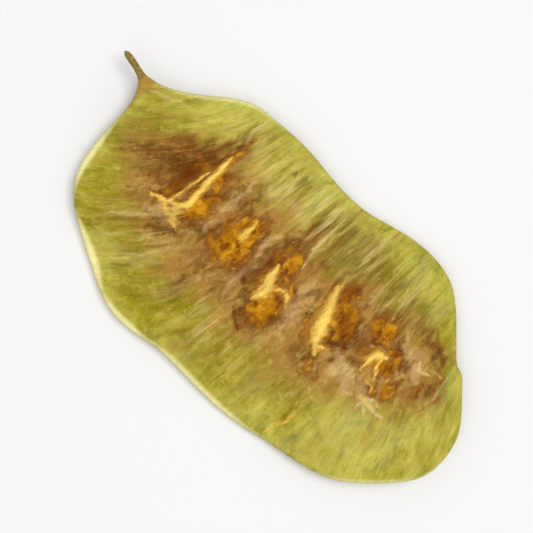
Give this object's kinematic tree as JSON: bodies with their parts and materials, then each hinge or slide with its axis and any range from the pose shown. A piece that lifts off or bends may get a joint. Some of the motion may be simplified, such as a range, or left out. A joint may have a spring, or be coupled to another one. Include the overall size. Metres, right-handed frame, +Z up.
{
  "type": "senna pod",
  "caption": "Flat, kidney-shaped dried seed pod with a thickened rim, a row of crested seed swellings and a short stalk at one end.",
  "frame": {"origin": "on the ground under the middle of the pod's outline", "axes": "+X along the pod from the stalk to the far end, +Y to the side with the hump, +Z up through the face with the sharper crests"},
  "size_m": [0.0426, 0.0236, 0.0029],
  "materials": {
    "dried_pod": "matt papery olive-green skin, brown and orange over the seeds"
  },
  "bodies": {
    "root": {"senna_pod": "dried_pod"}
  },
  "joints": []
}
